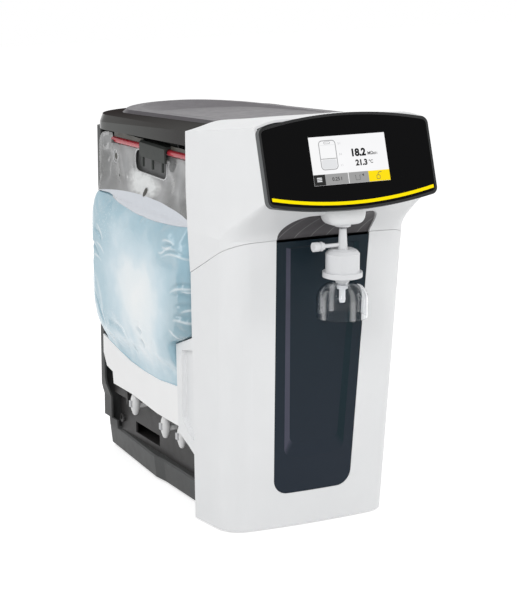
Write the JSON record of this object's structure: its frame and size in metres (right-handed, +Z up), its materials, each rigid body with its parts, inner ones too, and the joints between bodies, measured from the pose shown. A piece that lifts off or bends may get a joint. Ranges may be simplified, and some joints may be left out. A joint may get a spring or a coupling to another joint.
{
  "type": "ultrapure water system",
  "caption": "Bench-top ultrapure water system: white shell with a tilted touch display, dispensing filter with bell, and an open bay with a hanging water bag.",
  "frame": {"origin": "centre of the bounding box's foot, on the bench under the rubber feet", "axes": "+X to the right seen from the front, +Y to the rear, +Z up; the display faces -Y"},
  "size_m": [0.28, 0.576, 0.5605],
  "materials": {
    "white_shell": "satin moulded plastic",
    "panel_navy": "satin moulded plastic",
    "insert_grey": "matt moulded plastic",
    "bezel_grey": "satin moulded plastic",
    "display_black": "polished cover sheet",
    "screen_lit": "lit screen",
    "stripe_yellow": "satin painted band",
    "board_green": "circuit board",
    "clear_bell": "clear polished moulding",
    "capsule_white": "smooth moulded plastic",
    "seal_rubber": "matt rubber",
    "steel": "turned",
    "base_grey": "matt moulded plastic",
    "foot_rubber": "matt rubber",
    "lid_grey": "satin moulded plastic",
    "cover_grey": "satin moulded plastic",
    "rear_grey": "matt moulded plastic",
    "wall_grey": "matt moulded plastic",
    "rod_red": "smooth coated rod",
    "latch_grey": "satin moulded plastic",
    "bag_blue": "clear film round water",
    "film_clear": "clear crinkled film",
    "tray_white": "satin moulded plastic",
    "coupling_white": "smooth moulded plastic",
    "coupling_latch_grey": "matt moulded plastic",
    "cartridge_blue": "smooth moulded plastic",
    "pump_black": "painted",
    "lamp_glass": "clear tube",
    "hose_clear": "soft hose",
    "supply_metal": "folded sheet",
    "inlet_black": "matt moulded plastic"
  },
  "bodies": {
    "machine": {"front_shell": "white_shell", "vessel_panel": "panel_navy", "head_shell": "white_shell", "head_insert": "insert_grey", "display_bezel": "bezel_grey", "display_glass": "display_black", "display_screen": "screen_lit", "display_stripe": "stripe_yellow", "display_board": "board_green", "dispense_pod": "white_shell", "outlet_collar": "capsule_white", "seal_ring": "seal_rubber", "outlet_spigot": "steel", "base_pan": "base_grey", "rubber_feet": "foot_rubber", "lid_frame": "lid_grey", "top_cover": "cover_grey", "rear_housing": "rear_grey", "front_bulkhead": "wall_grey", "bay_wall": "wall_grey", "hanger_rod": "rod_red", "latch_pin": "steel", "water_bag": "bag_blue", "bag_film": "film_clear", "bag_tray": "tray_white", "port_coupling_1": "coupling_white", "port_coupling_2": "coupling_white", "port_coupling_3": "coupling_white", "lower_housing": "base_grey", "level_sensor": "board_green", "cartridge_holder": "wall_grey", "cartridge": "cartridge_blue", "booster_pump": "pump_black", "pump_motor": "steel", "uv_housing": "steel", "uv_lamp": "lamp_glass", "manifold": "capsule_white", "conductivity_cell": "steel", "dispense_valve": "pump_black", "main_board": "board_green", "power_supply": "supply_metal", "inner_hoses": "hose_clear", "hinge_pins": "steel", "rear_fittings": "capsule_white", "mains_inlet": "inlet_black", "power_switch": "inlet_black", "base_screws": "steel"},
    "filter_capsule": {"filter_housing": "capsule_white", "filter_base": "capsule_white", "filter_membrane": "capsule_white", "vent_arm": "capsule_white"},
    "vent_plug": {"vent_cap": "capsule_white"},
    "dust_bell": {"bell": "clear_bell"},
    "bag_hook": {"hook_latch": "latch_grey"},
    "latch_near": {"coupling_latch_1": "coupling_latch_grey"},
    "latch_middle": {"coupling_latch_2": "coupling_latch_grey"},
    "latch_far": {"coupling_latch_3": "coupling_latch_grey"},
    "door": {"side_door": "white_shell"},
    "rocker": {"power_rocker": "inlet_black"}
  },
  "joints": [
    {"name": "door_hinge", "type": "hinge", "parent": "machine", "child": "door", "pos_m": [0.124, 0.239, 0.265], "axis": [0, 0, 1], "range_deg": [0, 100]},
    {"name": "hook_hinge", "type": "hinge", "parent": "machine", "child": "bag_hook", "pos_m": [-0.1, 0.0543, 0.4884], "axis": [0, 1, 0], "range_deg": [0, 18]},
    {"name": "filter_slide", "type": "slide", "parent": "machine", "child": "filter_capsule", "axis": [0, 0, -1], "range_m": [0, 0.03]},
    {"name": "vent_cap_turn", "type": "hinge", "parent": "filter_capsule", "child": "vent_plug", "pos_m": [-0.0363, -0.2537, 0.394], "axis": [-1, 0, 0], "range_deg": [0, 90]},
    {"name": "bell_slide", "type": "slide", "parent": "filter_capsule", "child": "dust_bell", "axis": [0, 0, -1], "range_m": [0, 0.03]},
    {"name": "near_latch_press", "type": "slide", "parent": "machine", "child": "latch_near", "axis": [1, 0, 0], "range_m": [0, 0.0012], "stiffness_N_per_m": 200},
    {"name": "middle_latch_press", "type": "slide", "parent": "machine", "child": "latch_middle", "axis": [1, 0, 0], "range_m": [0, 0.0012], "stiffness_N_per_m": 200},
    {"name": "far_latch_press", "type": "slide", "parent": "machine", "child": "latch_far", "axis": [1, 0, 0], "range_m": [0, 0.0012], "stiffness_N_per_m": 200},
    {"name": "rocker_tilt", "type": "hinge", "parent": "machine", "child": "rocker", "pos_m": [-0.07, 0.269, 0.168], "axis": [1, 0, 0], "range_deg": [-16, 0]}
  ]
}
